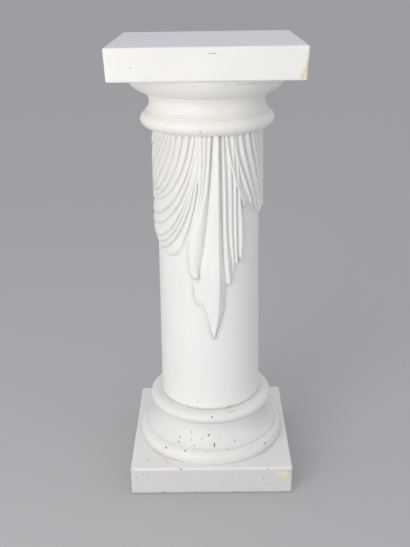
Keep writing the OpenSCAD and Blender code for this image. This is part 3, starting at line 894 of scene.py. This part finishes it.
def add_camera():
    """Camera in front, a little above the capital, looking down."""
    data = bpy.data.cameras.new("camera")
    data.lens = CAMERA_LENS
    data.sensor_width = CAMERA_SENSOR
    camera = bpy.data.objects.new("camera", data)
    bpy.context.scene.collection.objects.link(camera)
    pitch, yaw, roll = (math.radians(angle) for angle in (CAMERA_PITCH, CAMERA_YAW, CAMERA_ROLL))
    ahead = Vector((math.sin(yaw) * math.cos(pitch), math.cos(yaw) * math.cos(pitch), -math.sin(pitch)))
    right = Vector((math.cos(yaw), -math.sin(yaw), 0))
    up = right.cross(ahead)
    across = math.cos(roll) * right + math.sin(roll) * up
    upright = math.cos(roll) * up - math.sin(roll) * right
    turn = Matrix((across, upright, -ahead)).transposed()
    camera.matrix_world = Matrix.Translation(CAMERA_PLACE) @ turn.to_4x4()
    bpy.context.scene.camera = camera


def add_lamp(name, place, target, size, power, colour):
    """Square soft lamp at place, aimed at target."""
    data = bpy.data.lights.new(name, "AREA")
    data.size = size
    data.energy = power
    data.color = colour
    lamp = bpy.data.objects.new(name, data)
    lamp.location = place
    lamp.rotation_euler = (Vector(target) - Vector(place)).to_track_quat("-Z", "Y").to_euler()
    bpy.context.scene.collection.objects.link(lamp)


def add_lights():
    """Broad soft key from the front left, weak fill from the right, and a soft world, brightest overhead.

    Camera, glossy and transmission rays see the world in one plain pale colour."""
    middle = (0, 0, 0.5)
    add_lamp("key", (-1.15, -1.75, 0.85), middle, 1.2, 21, (1, 0.985, 0.955))
    add_lamp("fill", (1.9, -1.6, 0.9), middle, 1.4, 6, (0.95, 0.97, 1))
    world = bpy.data.worlds.new("world")
    bpy.context.scene.world = world
    world.use_nodes = True
    tree = world.node_tree
    light = tree.nodes["Background"]
    light.inputs["Color"].default_value = WORLD_COLOUR
    way = add_node(tree, "ShaderNodeTexCoord").outputs["Generated"]
    rise = add_node(tree, "ShaderNodeSeparateXYZ", {0: way}).outputs["Z"]
    tree.links.new(ranged(tree, rise, 0, 1, WORLD_LOW, WORLD_HIGH), light.inputs["Strength"])
    seen = add_node(tree, "ShaderNodeBackground", {"Color": WORLD_SEEN, "Strength": 1.0})
    path = add_node(tree, "ShaderNodeLightPath").outputs
    direct = calculated(tree, "MAXIMUM", path["Is Camera Ray"], path["Is Glossy Ray"])
    direct = calculated(tree, "MAXIMUM", direct, path["Is Transmission Ray"])
    both = add_node(tree, "ShaderNodeMixShader", {0: direct, 1: light.outputs[0], 2: seen.outputs[0]})
    tree.links.new(both.outputs[0], tree.nodes["World Output"].inputs["Surface"])


def add_floor():
    """Plain pale floor that runs out of sight."""
    mesh = bpy.data.meshes.new("floor")
    corners = [(x * FLOOR_REACH, y * FLOOR_REACH, 0) for x, y in ((-1, -1), (1, -1), (1, 1), (-1, 1))]
    mesh.from_pydata(corners, [], [(0, 1, 2, 3)])
    floor = bpy.data.objects.new("floor", mesh)
    bpy.context.scene.collection.objects.link(floor)
    material = bpy.data.materials.new("floor")
    material.use_nodes = True
    shader = material.node_tree.nodes["Principled BSDF"]
    shader.inputs["Roughness"].default_value = 0.8
    shader.inputs["Base Color"].default_value = FLOOR_COLOUR
    mesh.materials.append(material)


def finish_piece(piece, node_name, material):
    """The piece takes the place of its CAD node, which is hidden; it gets its material and joins the root
    body.
    """
    piece.data.materials.append(material)
    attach(piece, "root")
    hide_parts(node_name)


# Below its ledge the plinth is greyer: painted shade on its sides
base_paint = painted_plaster(
    "base_paint", (0.83, 0.82, 0.8), (0.5, 0.47, 0.42), base_marks(), 0.9, shaded_below=53)
shaft_paint = painted_plaster(
    "shaft_paint", (0.91, 0.9, 0.875), (0.6, 0.57, 0.53), shaft_marks(), 0.0, joint_at=BASE_TOP)
# The capital's paint is lighter and warmer than the shaft's: partly painted light, brightening the echinus
# and neck under the abacus
capital_paint = painted_plaster(
    "capital_paint", (0.945, 0.925, 0.885), (0.7, 0.64, 0.54), capital_marks(), 0.35, dusty_and_shaded_above=CAPITAL_TOP)
finish_piece(make_base(), "base", base_paint)
finish_piece(make_shaft(), "shaft", shaft_paint)
finish_piece(make_capital(), "capital", capital_paint)

add_camera()
add_lights()
add_floor()
bpy.context.scene.view_settings.view_transform = "Standard"
